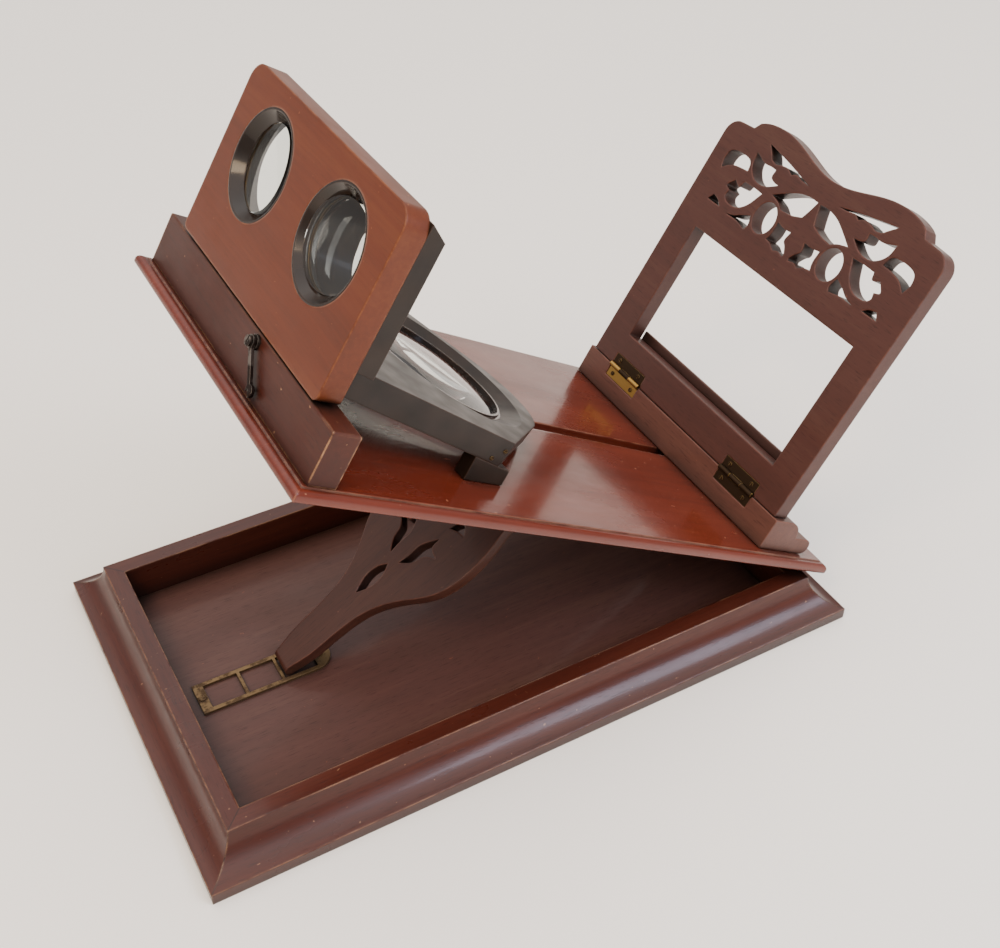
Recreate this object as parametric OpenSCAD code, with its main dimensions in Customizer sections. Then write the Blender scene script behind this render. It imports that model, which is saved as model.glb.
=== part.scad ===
// Folding stereoscope on a moulded tray, with a picture stand, a pair of eyepieces and a large folding lens.
// Lengths are millimetres. The picture end points to +x, the near side to -y, and the base rests on z = 0.

/* [Base] */
// length over the moulding
base_l = 389; // [384:1:394]
// width over the moulding
base_w = 240; // [236:1:246]
// height of the rim
rim_h = 26.5; // [26:0.5:27]
// height of the upright band below the hollow moulding
band_h = 7.2; // [6.5:0.1:8]
// width of the moulding seen from above
mould_w = 17; // [16:0.5:18]
// width of the whole rim
rim_w = 27; // [26:0.5:28]
// thickness of the tray's floor
floor_t = 3; // [2.5:0.5:3.5]

/* [Desk] */
// length of the sloping desk
desk_l = 366.8; // [364:0.2:368]
// width of the desk
desk_w = 208.2; // [204:0.2:210]
// slope of the desk as it stands
desk_tilt = 31.53; // [30:0.01:32]
// thickness of the desk's rounded edge
edge_t = 5.4; // [5:0.1:5.6]
// height of the raised middle above the rounded edge
field_t = 0.7; // [0.5:0.1:0.8]
// width of the rounded edge seen from above
edge_w = 4.2; // [4:0.1:4.6]
// width of the slot that guides the carriage
slot_w = 8.6; // [8.4:0.1:9]

/* [Eyepiece board] */
// width of the board
board_w = 161.4; // [158:0.2:164]
// height of the board
board_h = 88.9; // [88:0.1:90]
// thickness of the board
board_t = 11.9; // [11.5:0.1:12.2]
// distance between the two eyepieces
eye_gap = 77; // [74:0.5:80]
// height of the eyepieces above the rail they stand on
eye_h = 54.4; // [53:0.2:56]
// radius of the eyepiece cups
cup_r = 26.8; // [26:0.1:27.4]
// radius of the glass seen at the bottom of the cups
eye_r = 21.2; // [20.8:0.1:21.4]

/* [Large lens] */
// slope of the lens frame against the desk
lens_slope = 11.3; // [11:0.1:11.6]
// radius of the clear glass
glass_r = 41.4; // [41:0.1:42]
// thickness of the lens frame
lens_t = 10.1; // [9.6:0.1:10.4]
// depth of the lens frame's side rails
rail_t = 13.9; // [13.5:0.1:14.2]

/* [Picture stand] */
// half the width of the stand
stand_half = 92.4; // [91:0.1:94]
// thickness of the stand
stand_t = 10.3; // [10:0.1:10.6]
// half the width of the window
window_half = 72.4; // [71:0.1:73]
// lower edge of the window above the desk
window_low = 40.8; // [40:0.1:41.5]
// upper edge of the window above the desk
window_high = 119.2; // [118.5:0.1:120]
// height of the shoulders above the desk
shoulder_h = 184.8; // [184:0.1:186]
// height of the crest above its dip
crest_rise = 9.2; // [8:0.1:10]
// size of one square of the drawing grid for the fretwork
fret_grid = 1.2; // [1.18:0.01:1.2]

/* [Strut] */
// distance from the desk's hinged end to the strut's hinge
strut_s = 162; // [160:0.5:163]
// thickness of the strut
strut_t = 6.4; // [6:0.1:6.6]

/* [Hidden] */
$fn = 64;
eps = 0.01;
over = 1;

mahogany = [0.36, 0.14, 0.09];
pale_mahogany = [0.50, 0.20, 0.10];
ebony = [0.10, 0.09, 0.08];
brass = [0.62, 0.50, 0.28];
clear = [0.86, 0.90, 0.88, 0.35];

// hinge between the tray and the desk: the axis lies just outside the rim
pin_gap = 0.05;
seam = 0.3;
desk_e = 3.2;
desk_c = 1.6;
hinge_x = base_l - 10;
hinge_z = rim_h + seam - desk_c;
desk_top = edge_t + field_t;

// cove of the base moulding: a circle through the band's top edge and the rim's outer edge
cove_out = 4.2;
cove_up = 1.5;
cove_r = norm([mould_w + cove_out, cove_up]);

// picture stand
stand_s = 58.4;
stand_lean = 1.3;
bar_h = 19.1;
stand_gap = 0.55;
crest_peak = 50.4;
crest_end = 72.4;
shoulder_r = 9.6;
crest_dip = shoulder_h - 0.2;

// the whole object reaches from the tray's end to the crest's far edge
reach_s = stand_s - stand_t * cos(stand_lean) - (crest_dip + crest_rise) * sin(stand_lean);
reach_n = desk_top - stand_t * sin(stand_lean) + (crest_dip + crest_rise) * cos(stand_lean);
reach_x = hinge_x + (desk_e - reach_s) * cos(desk_tilt) + (desk_c + reach_n) * sin(desk_tilt);
x_mid = reach_x / 2;

// lens rail and eyepiece board, measured from the desk's hinged end
rail_s = 360.3;
rail_d = 14.4;
rail_h = 26.6;
rail_half = 99.3;
rail_top = desk_top + rail_h;
board_s = 361.5;
board_lean = 1;
board_n = rail_top + 1.75;
board_pin_s = 343.9;
board_pin_up = 0.75;
leaf_t = 0.7;
backing_t = 9.4;
backing_low = 15.8;
backing_slope = 6;

// large lens frame: its own axes start where its upper face meets the backing board
lens_s = 340.2;
lens_n = 49.4;
lens_half = 73.4;
lens_back = 5.6;
lens_cx = 92.5;
nose_cx = 118.3;
nose_r = 43.2;
shoulder_x = 99.7;
rail_end = 114;
rail_in = 9;
crossbar_x = 12;
dish_r = 54.6;
ring_r = 44.4;
dish_d = 3.9;
lens_pin_x = 0.7;
lens_pin_z = 0.6;

// strut: its foot stands just above the third opening of the ratchet plate
strut_drop = 4.5;
foot_x = 87;
plate_t = 1.6;
foot_r = strut_t / 2;
foot_z = floor_t + plate_t + seam + 0.1 + foot_r;
strut_hx = hinge_x + (desk_e - strut_s) * cos(desk_tilt) + (desk_c - strut_drop) * sin(desk_tilt);
strut_hz = hinge_z - (desk_e - strut_s) * sin(desk_tilt) + (desk_c - strut_drop) * cos(desk_tilt);
strut_len = norm([strut_hx - foot_x, strut_hz - foot_z]);
strut_dip = atan2(strut_hz - foot_z, strut_hx - foot_x);
echo(x_mid = x_mid, hinge = [hinge_x - x_mid, hinge_z], strut_pin = [strut_hx - x_mid, strut_hz],
    strut_len = strut_len, strut_fold = desk_tilt + strut_dip);

// smooth closed outline through a few points; a third number marks a sharp corner
function bend(a, b, p, q, t) = (2 * t ^ 3 - 3 * t ^ 2 + 1) * a + (t ^ 3 - 2 * t ^ 2 + t) * p
    + (3 * t ^ 2 - 2 * t ^ 3) * b + (t ^ 3 - t ^ 2) * q;
function xy(p) = [p[0], p[1]];
function smooth(p, steps = 4) = [
    for (i = [0 : len(p) - 1])
        let (n = len(p), a = xy(p[i]), b = xy(p[(i + 1) % n]), z = xy(p[(i + n - 1) % n]), c = xy(p[(i + 2) % n]))
        let (u = len(p[i]) > 2 ? b - a : (b - z) / 2, v = len(p[(i + 1) % n]) > 2 ? b - a : (c - a) / 2)
        for (k = [0 : steps - 1]) bend(a, b, u, v, k / steps)
];

module both_sides() {
    children();
    mirror([0, 1, 0]) children();
}

module along_x(length) {
    rotate([90, 0, 90]) linear_extrude(length, center = true) children();
}

module along_y(length) {
    rotate([90, 0, 0]) linear_extrude(length, center = true) children();
}

module y_rod(length, r) {
    rotate([90, 0, 0]) cylinder(h = length, r = r, center = true);
}

// frames of reference: desk (x toward the picture end, z off the desk's underside), board, lens frame, stand
module in_world() {
    translate([-x_mid, 0, 0]) children();
}

module on_desk() {
    translate([hinge_x - x_mid, 0, hinge_z]) rotate([0, desk_tilt, 0]) translate([desk_e, 0, desk_c]) children();
}

module on_board() {
    on_desk() translate([-board_s, 0, board_n]) rotate([0, board_lean, 0]) children();
}

module on_lens() {
    on_desk() translate([-lens_s, 0, lens_n]) rotate([0, lens_slope, 0]) children();
}

module on_stand() {
    on_desk() translate([-stand_s, 0, desk_top]) rotate([0, stand_lean, 0]) children();
}

module on_strut() {
    translate([strut_hx - x_mid, 0, strut_hz]) rotate([0, 180 - strut_dip, 0]) children();
}

// butt hinge: the axis lies along y, the fixed leaf carries the two outer knuckles
knuckle_gap = 0.15;
function knuckle_end(length) = round(length / 6);
function outer_knuckles(length) =
    let (end = knuckle_end(length) + knuckle_gap) [[-length / 2, -end], [end, length / 2]];
function middle_knuckle(length) = let (end = knuckle_end(length) - knuckle_gap) [[-end, end]];

module hinge_leaf(knuckles, length, reach, r, bore, low, thick) {
    root = r - 0.35;
    difference() {
        union() {
            for (k = knuckles) {
                translate([0, (k[0] + k[1]) / 2, 0]) y_rod(k[1] - k[0], r);
                translate([-root, k[0], min(low, 0)]) cube([root, k[1] - k[0], max(low + thick, 0) - min(low, 0)]);
                translate([-r - 2 * seam, k[0], low]) cube([r + 2 * seam - root / 2, k[1] - k[0], thick]);
            }
            translate([-reach, -length / 2, low]) cube([reach - r - seam, length, thick]);
        }
        y_rod(length + over, bore);
    }
}

module at_y(places) {
    for (y = places) {
        translate([0, y, 0]) children();
    }
}

module screw_head(r, h) {
    difference() {
        cylinder(h = h, r = r);
        translate([0, 0, h]) cube([2 * r + over, r / 3, h], center = true);
    }
}

// base
module moulded_section(w) {
    difference() {
        translate([-w / 2, 0]) square([w, rim_h]);
        for (side = [-1, 1]) {
            translate([side * (w / 2 + cove_out), rim_h + cove_up]) circle(r = cove_r, $fn = 128);
        }
    }
}

module tray_space() {
    translate([base_l / 2, 0, rim_h / 2]) cube([base_l - 2 * rim_w, base_w - 2 * rim_w, rim_h + over], center = true);
}

// play of a leaf in its pocket, and of a knuckle in the hollow that it turns in
pocket_play = 0.1;
knuckle_play = 0.4;

desk_hinge_len = 34;
desk_hinge_y = [-66, 66];
desk_leaf_t = 1.2;
desk_knuckle_r = 2.2;
desk_pin_r = 1.1;
desk_leaf_reach = 16;

module base_frame() {
    color(mahogany) in_world() difference() {
        intersection() {
            translate([base_l / 2, 0, 0]) along_x(base_l) moulded_section(base_w);
            translate([base_l / 2, 0, 0]) along_y(base_w) moulded_section(base_l);
        }
        tray_space();
        at_y(desk_hinge_y) {
            translate([
                hinge_x - desk_leaf_reach - pocket_play, -desk_hinge_len / 2 - pocket_play, rim_h - desk_leaf_t - 0.05
            ])
                cube([desk_leaf_reach, desk_hinge_len + 2 * pocket_play, desk_leaf_t + over]);
        }
    }
}

plate_x0 = 35.2;
plate_x1 = 113;
plate_half = 10.8;
plate_screw_x = [37.9, 107];
plate_windows = [40.8, 62.2, 83.4];
plate_window_l = 19.6;
plate_window_half = 8.4;
plate_screw_r = 1;
plate_hole_r = 1.1;
plate_head_r = 2.2;

module base_floor() {
    color(mahogany) in_world() difference() {
        translate([rim_w + 0.05, -base_w / 2 + rim_w + 0.05, 0])
            cube([base_l - 2 * rim_w - 0.1, base_w - 2 * rim_w - 0.1, floor_t]);
        for (x = plate_screw_x) {
            translate([x, 0, floor_t - 1.5]) cylinder(h = 2, r = plate_hole_r);
        }
    }
}

module plate_shape() {
    difference() {
        union() {
            translate([plate_x0, -plate_half]) square([plate_x1 - plate_half - plate_x0, 2 * plate_half]);
            translate([plate_x1 - plate_half, 0]) circle(r = plate_half);
        }
        for (x = plate_windows) {
            translate([x, -plate_window_half]) square([plate_window_l, 2 * plate_window_half]);
        }
    }
}

module ratchet_plate() {
    color(brass) in_world() difference() {
        translate([0, 0, floor_t + 0.02]) linear_extrude(plate_t) plate_shape();
        for (x = plate_screw_x) {
            translate([x, 0, floor_t - over]) cylinder(h = plate_t + 2 * over, r = plate_hole_r);
        }
    }
}

module ratchet_screws() {
    color(brass) in_world() for (x = plate_screw_x) {
        translate([x, 0, floor_t - 1.4]) cylinder(h = plate_t + 1.5, r = plate_screw_r);
        translate([x, 0, floor_t + plate_t + 0.05]) screw_head(plate_head_r, 0.8);
    }
}

module base_hinge_leaves() {
    color(brass) in_world() at_y(desk_hinge_y) translate([hinge_x, 0, hinge_z])
        hinge_leaf(outer_knuckles(desk_hinge_len), desk_hinge_len, desk_leaf_reach, desk_knuckle_r,
            desk_pin_r + 0.02, rim_h - desk_leaf_t - hinge_z, desk_leaf_t);
}

module desk_hinge_pins() {
    color(brass) in_world() at_y(desk_hinge_y) translate([hinge_x, 0, hinge_z]) y_rod(desk_hinge_len, desk_pin_r);
}

// desk
nose_top_r = 3;
nose_low_r = 1.2;

module nosed_section(w, r_top, r_low) {
    difference() {
        translate([-w / 2, 0]) square([w, edge_t]);
        for (side = [0, 1]) mirror([side, 0]) {
            translate([w / 2 - r_top, edge_t - r_top]) difference() {
                square([r_top + over, r_top + over]);
                circle(r = r_top);
            }
            translate([w / 2 - r_low, r_low]) mirror([0, 1]) difference() {
                square([r_low + over, r_low + over]);
                circle(r = r_low);
            }
        }
    }
}

slot_s = [22, 228];
strut_hinge_y = [-19, 19];
strut_hinge_len = 20;

module desk_board() {
    color(mahogany) on_desk() difference() {
        union() {
            intersection() {
                translate([-desk_l / 2, 0, 0]) along_x(desk_l) nosed_section(desk_w, nose_top_r, nose_low_r);
                translate([-desk_l / 2, 0, 0]) along_y(desk_w) nosed_section(desk_l, nose_top_r, nose_low_r);
            }
            translate([-desk_l / 2, 0, desk_top / 2 + 1])
                cube([desk_l - 2 * edge_w, desk_w - 2 * edge_w, desk_top - 2], center = true);
        }
        translate([-slot_s[1], -slot_w / 2, -over]) cube([slot_s[1] - slot_s[0], slot_w, desk_top + 2 * over]);
        at_y(desk_hinge_y) {
            translate([-desk_e, 0, -desk_c]) y_rod(desk_hinge_len + 2 * knuckle_play, desk_knuckle_r + knuckle_play);
            translate([-desk_e - desk_leaf_reach - pocket_play, -desk_hinge_len / 2 - pocket_play, -over])
                cube([desk_leaf_reach + pocket_play, desk_hinge_len + 2 * pocket_play, desk_leaf_t + 0.05 + over]);
        }
    }
}

module desk_hinge_leaves() {
    color(brass) on_desk() at_y(desk_hinge_y) translate([-desk_e, 0, -desk_c])
        hinge_leaf(middle_knuckle(desk_hinge_len), desk_hinge_len, desk_leaf_reach, desk_knuckle_r,
            desk_pin_r + pin_gap, desk_c, desk_leaf_t);
}

bracket_r = 2.2;
bracket_pin_r = 1.1;
bracket_leaf_t = 1.2;
bracket_lift = 0.02;
bracket_reach = 14;
knuckle_reach = 16.4;
web_reach = 3.2;

module strut_brackets() {
    color(brass) on_desk() translate([-strut_s, 0, -strut_drop]) at_y(strut_hinge_y) difference() {
        union() {
            for (k = outer_knuckles(strut_hinge_len)) {
                translate([0, (k[0] + k[1]) / 2, 0]) y_rod(k[1] - k[0], bracket_r);
                translate([0, k[0], 0]) cube([bracket_r - 0.4, k[1] - k[0], strut_drop - bracket_lift]);
            }
            translate([0, -strut_hinge_len / 2, strut_drop - bracket_lift - bracket_leaf_t])
                cube([bracket_reach, strut_hinge_len, bracket_leaf_t]);
        }
        y_rod(strut_hinge_len + over, bracket_pin_r + 0.02);
    }
}

module strut_pins() {
    color(brass) on_desk() translate([-strut_s, 0, -strut_drop]) at_y(strut_hinge_y)
        y_rod(strut_hinge_len, bracket_pin_r);
}

// strut: x runs from its hinge to its foot
foot_half = 7.8;
strut_side = [
    [3.4, 35.6, 1], [23, 36], [40, 38.4], [57, 42.6], [74, 43.6], [88, 41], [99, 35], [110, 26], [122, 18.4],
    [135, 13.9], [150, 12], [168, 11]
];

module strut_outline() {
    half = concat(strut_side, [[strut_len, foot_half, 1]]);
    turned = [for (i = [len(half) - 1 : -1 : 0]) [half[i][0], -half[i][1], if (len(half[i]) > 2) 1]];
    polygon(smooth(concat(half, turned)));
}

strut_tear = [[103.5, 0, 1], [109, 3.6], [116, 4.6], [122, 2.8], [127.5, 0, 1], [122, -2.8], [116, -4.6], [109, -3.6]];
strut_scroll = [
    [98.2, 5, 1], [91, 6], [82, 6.4], [72, 12.4, 1], [78.4, 13.4], [80.4, 21, 1], [84.6, 14.6], [92, 11.4]
];
strut_bud = [[64, 11.6, 1], [59, 13], [56.6, 17.4], [60.4, 22.6, 1], [61.4, 17.4]];
strut_loop = [[50, 3.4, 1], [46, 9], [36, 12.6], [27, 9.6], [26, 4.6], [36, 5]];

module strut() {
    color(mahogany) on_strut() difference() {
        union() {
            linear_extrude(strut_t, center = true) strut_outline();
            translate([strut_len, 0, 0]) y_rod(2 * foot_half, foot_r);
        }
        linear_extrude(strut_t + over, center = true) {
            polygon(smooth(strut_tear));
            for (side = [0, 1]) mirror([0, side]) {
                polygon(smooth(strut_scroll));
                polygon(smooth(strut_bud));
                polygon(smooth(strut_loop));
            }
        }
        at_y(strut_hinge_y) {
            translate([0, -strut_hinge_len / 2 - pocket_play, strut_t / 2 - bracket_leaf_t - 0.05])
                cube([knuckle_reach + 0.6, strut_hinge_len + 2 * pocket_play, bracket_leaf_t + over]);
        }
    }
}

module strut_knuckles() {
    color(brass) on_strut() at_y(strut_hinge_y) difference() {
        union() {
            for (k = middle_knuckle(strut_hinge_len)) {
                translate([0, (k[0] + k[1]) / 2, 0]) y_rod(k[1] - k[0], bracket_r);
                translate([0, k[0], 0.5]) cube([web_reach, k[1] - k[0], strut_t / 2 - 0.5]);
            }
            translate([web_reach - 0.4, -strut_hinge_len / 2, strut_t / 2 - bracket_leaf_t])
                cube([knuckle_reach - web_reach + 0.4, strut_hinge_len, bracket_leaf_t]);
        }
        y_rod(strut_hinge_len + over, bracket_pin_r + pin_gap);
    }
}

// rail under the eyepiece board
module soft_box_section(w, h, r) {
    difference() {
        translate([-w / 2, 0]) square([w, h]);
        for (side = [0, 1]) mirror([side, 0]) translate([w / 2 - r, h - r]) difference() {
            square([r + over, r + over]);
            circle(r = r);
        }
    }
}

module lens_rail() {
    color(mahogany) on_desk() translate([rail_d / 2 - rail_s, 0, desk_top + 0.02]) intersection() {
        along_x(rail_d) soft_box_section(2 * rail_half, rail_h - 0.02, 1);
        along_y(2 * rail_half) soft_box_section(rail_d, rail_h - 0.02, 0.8);
    }
}

board_hinge_y = [-52, 52];
board_hinge_len = 26;
board_knuckle_r = 1.7;
board_pin_r = 0.8;
board_leaf_reach = 14.5;

module at_board_hinges() {
    on_desk() translate([-board_pin_s, 0, rail_top + board_pin_up]) at_y(board_hinge_y) children();
}

module rail_hinge_leaves() {
    color(brass) at_board_hinges() hinge_leaf(outer_knuckles(board_hinge_len), board_hinge_len, board_leaf_reach,
        board_knuckle_r, board_pin_r + 0.02, -leaf_t - 0.04, leaf_t);
}

module board_hinge_leaves() {
    color(brass) at_board_hinges() hinge_leaf(middle_knuckle(board_hinge_len), board_hinge_len, board_leaf_reach,
        board_knuckle_r, board_pin_r + pin_gap, 0.04, leaf_t);
}

module board_hinge_pins() {
    color(brass) at_board_hinges() y_rod(board_hinge_len, board_pin_r);
}

// hook on the front of the rail
hook_y = -20.4;
hook_n = 27.9;
hook_l = 25.6;
hook_turn = 43;
hook_t = 1.6;
hook_lift = 1.7;
hook_eye_r = 3.2;
hook_screw_r = 1.3;
hook_head_r = 2.6;
hook_collar_r = 3.6;
hook_shank_w = 2.2;
hook_claw_r = 3;
hook_claw_in = 1.9;

module at_hook() {
    on_desk() translate([-rail_s, hook_y, hook_n]) rotate([0, -90, 0]) children();
}

module hook_screw() {
    color(brass) at_hook() {
        translate([0, 0, 0.02]) cylinder(h = hook_lift - seam, r = hook_collar_r);
        translate([0, 0, 0.02]) cylinder(h = hook_lift + hook_t + seam, r = hook_screw_r);
        translate([0, 0, hook_lift + hook_t + seam]) screw_head(hook_head_r, 1.2);
    }
}

module hook() {
    color(brass) at_hook() rotate([0, 0, 180 + hook_turn]) translate([0, 0, hook_lift]) difference() {
        union() {
            cylinder(h = hook_t, r = hook_eye_r);
            translate([0, -hook_shank_w / 2, 0]) cube([hook_l - 2, hook_shank_w, hook_t]);
            translate([hook_l - hook_claw_r, 0, 0]) difference() {
                cylinder(h = hook_t, r = hook_claw_r);
                translate([0.8, -hook_claw_in, -over]) cylinder(h = hook_t + 2 * over, r = hook_claw_in);
            }
            translate([hook_l - 1.2, 1.2, hook_t / 2 + 0.5]) sphere(r = hook_screw_r);
        }
        translate([0, 0, -over]) cylinder(h = hook_t + 2 * over, r = hook_screw_r + pin_gap);
    }
}

// eyepiece board: x runs back from its front face, z up from its lower edge
module rounded_board(w, h, r_top, r_low) {
    difference() {
        translate([-w / 2, 0]) square([w, h]);
        for (side = [0, 1]) mirror([side, 0]) {
            translate([w / 2 - r_top, h - r_top]) difference() {
                square([r_top + over, r_top + over]);
                circle(r = r_top);
            }
            translate([w / 2 - r_low, r_low]) mirror([0, 1]) difference() {
                square([r_low + over, r_low + over]);
                circle(r = r_low);
            }
        }
    }
}

module x_disc(length, r) {
    rotate([0, 90, 0]) cylinder(h = length, r = r, $fn = 96);
}

eye_z = eye_h - (board_n - rail_top);
eye_y = [-eye_gap / 2, eye_gap / 2];
corner_r = 9.6;
foot_corner_r = 3.6;
cup_deep = 5;
cup_lip = 1.1;
seat_x = cup_deep + 0.6;
seat_r = eye_r + 1.5;
eye_lens_back = seat_x + 2.4;
back_hole_r = 23.5;
back_flare = 2.5;

module eyepiece_board() {
    color(pale_mahogany) on_board() difference() {
        translate([board_t / 2, 0, 0]) along_x(board_t) rounded_board(board_w, board_h, corner_r, foot_corner_r);
        at_y(eye_y) translate([-over, 0, eye_z]) x_disc(board_t + 2 * over, cup_r + 0.02);
    }
}

module eyepiece_cups() {
    color(ebony) on_board() at_y(eye_y) translate([0, 0, eye_z]) rotate([0, 90, 0]) difference() {
        cylinder(h = board_t, r = cup_r, $fn = 96);
        translate([0, 0, -eps]) cylinder(h = cup_deep + eps, r1 = cup_r - cup_lip, r2 = eye_r, $fn = 96);
        cylinder(h = board_t, r = eye_r, $fn = 96);
        translate([0, 0, seat_x]) cylinder(h = board_t, r = seat_r, $fn = 96);
        translate([0, 0, board_t - back_flare])
            cylinder(h = back_flare + eps, r1 = seat_r, r2 = back_hole_r, $fn = 96);
    }
}

module lens_body(r, bulge, rim) {
    ball = (r * r + bulge * bulge) / (2 * bulge);
    union() {
        cylinder(h = rim, r = r, $fn = 96);
        intersection() {
            translate([0, 0, rim + bulge - ball]) sphere(r = ball, $fn = 160);
            translate([0, 0, rim - eps]) cylinder(h = bulge + over, r = r, $fn = 96);
        }
    }
}

module eyepiece_lenses() {
    color(clear) on_board() at_y(eye_y) translate([eye_lens_back, 0, eye_z]) rotate([0, -90, 0])
        lens_body(seat_r - 0.1, 2.6, 2);
}

module backing_board() {
    top = board_h - 2.2;
    color(ebony) on_board() translate([board_t + 0.02, 0, 0]) difference() {
        along_y(board_w) polygon([
            [0, backing_low + backing_t * tan(lens_slope - board_lean)], [backing_t, backing_low],
            [backing_t, top - backing_slope], [0, top]
        ]);
        at_y(eye_y) {
            translate([-over, 0, eye_z]) x_disc(backing_t + 2 * over, back_hole_r);
        }
        on_backing_hinges() {
            y_rod(lens_hinge_len + 2 * knuckle_play, lens_knuckle_r + 0.35);
            translate([-lens_pin_back - lens_leaf_t - 0.03, -lens_hinge_len / 2 - pocket_play, 0])
                cube([lens_leaf_t + over, lens_hinge_len + 2 * pocket_play, lens_leaf_reach + pocket_play]);
        }
    }
}

module lens_rings() {
    color(brass) on_board() at_y(eye_y) translate([eye_lens_back + 0.05, 0, eye_z]) rotate([0, 90, 0]) difference() {
        cylinder(h = 0.85, r = seat_r - 0.1, $fn = 96);
        translate([0, 0, -over]) cylinder(h = 3, r = eye_r - 0.2, $fn = 96);
    }
}

// hinge between the backing board and the lens frame
lens_hinge_y = [-40, 40];
lens_hinge_len = 22;
lens_knuckle_r = 1.7;
lens_pin_r = 0.8;
lens_leaf_t = 0.8;
lens_leaf_reach = 12;
lens_pin_s = lens_s - lens_pin_x * cos(lens_slope) - lens_pin_z * sin(lens_slope);
lens_pin_n = lens_n - lens_pin_x * sin(lens_slope) + lens_pin_z * cos(lens_slope);

// the same axis in the backing board's own axes
backing_pin_x = (board_s - lens_pin_s) * cos(board_lean) - (lens_pin_n - board_n) * sin(board_lean) - board_t - 0.02;
lens_pin_back = backing_pin_x - backing_t;
backing_pin_z = (board_s - lens_pin_s) * sin(board_lean) + (lens_pin_n - board_n) * cos(board_lean);

module on_backing_hinges() {
    translate([backing_pin_x, 0, backing_pin_z]) at_y(lens_hinge_y) children();
}

module backing_hinge_leaves() {
    color(brass) on_board() translate([board_t + 0.02, 0, 0]) on_backing_hinges() rotate([0, 90, 0])
        hinge_leaf(outer_knuckles(lens_hinge_len), lens_hinge_len, lens_leaf_reach, lens_knuckle_r,
            lens_pin_r + 0.02, -lens_pin_back - lens_leaf_t, lens_leaf_t);
}

module lens_hinge_pins() {
    color(brass) on_lens() translate([lens_pin_x, 0, lens_pin_z]) at_y(lens_hinge_y) y_rod(lens_hinge_len, lens_pin_r);
}

module lens_frame_leaves() {
    color(brass) on_lens() translate([lens_pin_x, 0, lens_pin_z]) at_y(lens_hinge_y) rotate([0, 0, 180])
        hinge_leaf(middle_knuckle(lens_hinge_len), lens_hinge_len, lens_leaf_reach, lens_knuckle_r,
            lens_pin_r + pin_gap, -lens_pin_z - lens_leaf_t, lens_leaf_t);
}

// lens frame: x runs toward the picture end along its upper face, z = 0 is the upper face
module lens_shape() {
    touch = atan2(lens_half, shoulder_x - nose_cx) - acos(nose_r / norm([nose_cx - shoulder_x, lens_half]));
    point = [nose_cx + nose_r * cos(touch), nose_r * sin(touch)];
    polygon([
        [-lens_back, -lens_half], [shoulder_x, -lens_half], [point[0], -point[1]], [nose_cx, 0], point,
        [shoulder_x, lens_half], [-lens_back, lens_half]
    ]);
    translate([nose_cx, 0]) circle(r = nose_r, $fn = 128);
}

module lens_frame() {
    color(ebony) on_lens() difference() {
        union() {
            translate([0, 0, -lens_t]) linear_extrude(lens_t) lens_shape();
            translate([0, 0, -rail_t]) linear_extrude(rail_t - 3) intersection() {
                lens_shape();
                difference() {
                    translate([-lens_back, -lens_half]) square([rail_end + lens_back, 2 * lens_half]);
                    translate([crossbar_x, rail_in - lens_half]) square([rail_end, 2 * (lens_half - rail_in)]);
                }
            }
        }
        translate([lens_cx, 0, -dish_d]) cylinder(h = dish_d + eps, r1 = ring_r, r2 = dish_r, $fn = 128);
        translate([lens_cx, 0, -rail_t - over]) cylinder(h = rail_t + over, r = ring_r + 0.02, $fn = 128);
        at_y(board_hinge_y) {
            translate([-lens_back - over, -board_hinge_len / 2 - 0.6, -rail_t - over])
                cube([8, board_hinge_len + 1.2, 2.8 + over]);
        }
        translate([lens_pin_x, 0, lens_pin_z]) at_y(lens_hinge_y) {
            y_rod(lens_hinge_len + 2 * knuckle_play, lens_knuckle_r + 0.35);
            translate([0, -lens_hinge_len / 2 - pocket_play, -lens_pin_z - lens_leaf_t - 0.03])
                cube([lens_leaf_reach + pocket_play, lens_hinge_len + 2 * pocket_play, 3]);
        }
    }
}

module large_lens_ring() {
    color(ebony) on_lens() translate([lens_cx, 0, -lens_t]) difference() {
        union() {
            cylinder(h = lens_t - dish_d, r = ring_r, $fn = 128);
            cylinder(h = lens_t - dish_d + 1.2, r = glass_r + 1.4, $fn = 128);
        }
        translate([0, 0, 3.4 - 1.4]) cylinder(h = 12, r = glass_r, $fn = 128);
        translate([0, 0, -over]) cylinder(h = 12, r = glass_r - 1.4, $fn = 128);
    }
}

module large_lens() {
    color(clear) on_lens() translate([lens_cx, 0, 2.1 - lens_t]) {
        lens_body(glass_r - 0.05, 4.6, 2.6);
        mirror([0, 0, 1]) lens_body(glass_r - 1.8, 4, 0.02);
    }
}

foot_s = [237, 260.8];

module lens_feet() {
    color(ebony) on_desk() both_sides() difference() {
        translate([-foot_s[1], lens_half - rail_in, desk_top + 0.35]) cube([foot_s[1] - foot_s[0], rail_in, 24]);
        translate([-lens_s, 0, lens_n]) rotate([0, lens_slope, 0]) translate([0, 0, -rail_t - 0.02])
            cube([lens_s, 2 * lens_half, 60]);
    }
}

frame_screw_x = [92.6, 97.4];
frame_screw_z = [-11.4, -5.6];

module lens_frame_screws() {
    color(brass) on_lens() both_sides() for (i = [0, 1]) {
        translate([frame_screw_x[i], lens_half + eps, frame_screw_z[i]]) rotate([-90, 0, 0]) screw_head(1.2, 0.4);
    }
}

// carriage that carries the picture stand
carriage_half = 95.7;
carriage_lift = 0.3;
carriage_h = bar_h - carriage_lift;
carriage_deep = 15.2;
cove_bar_r = 10.6;
lip_n = 9.4;
lip_end = 41.6;

clamp_x = 15;
clamp_hole_r = 1.6;

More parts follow.
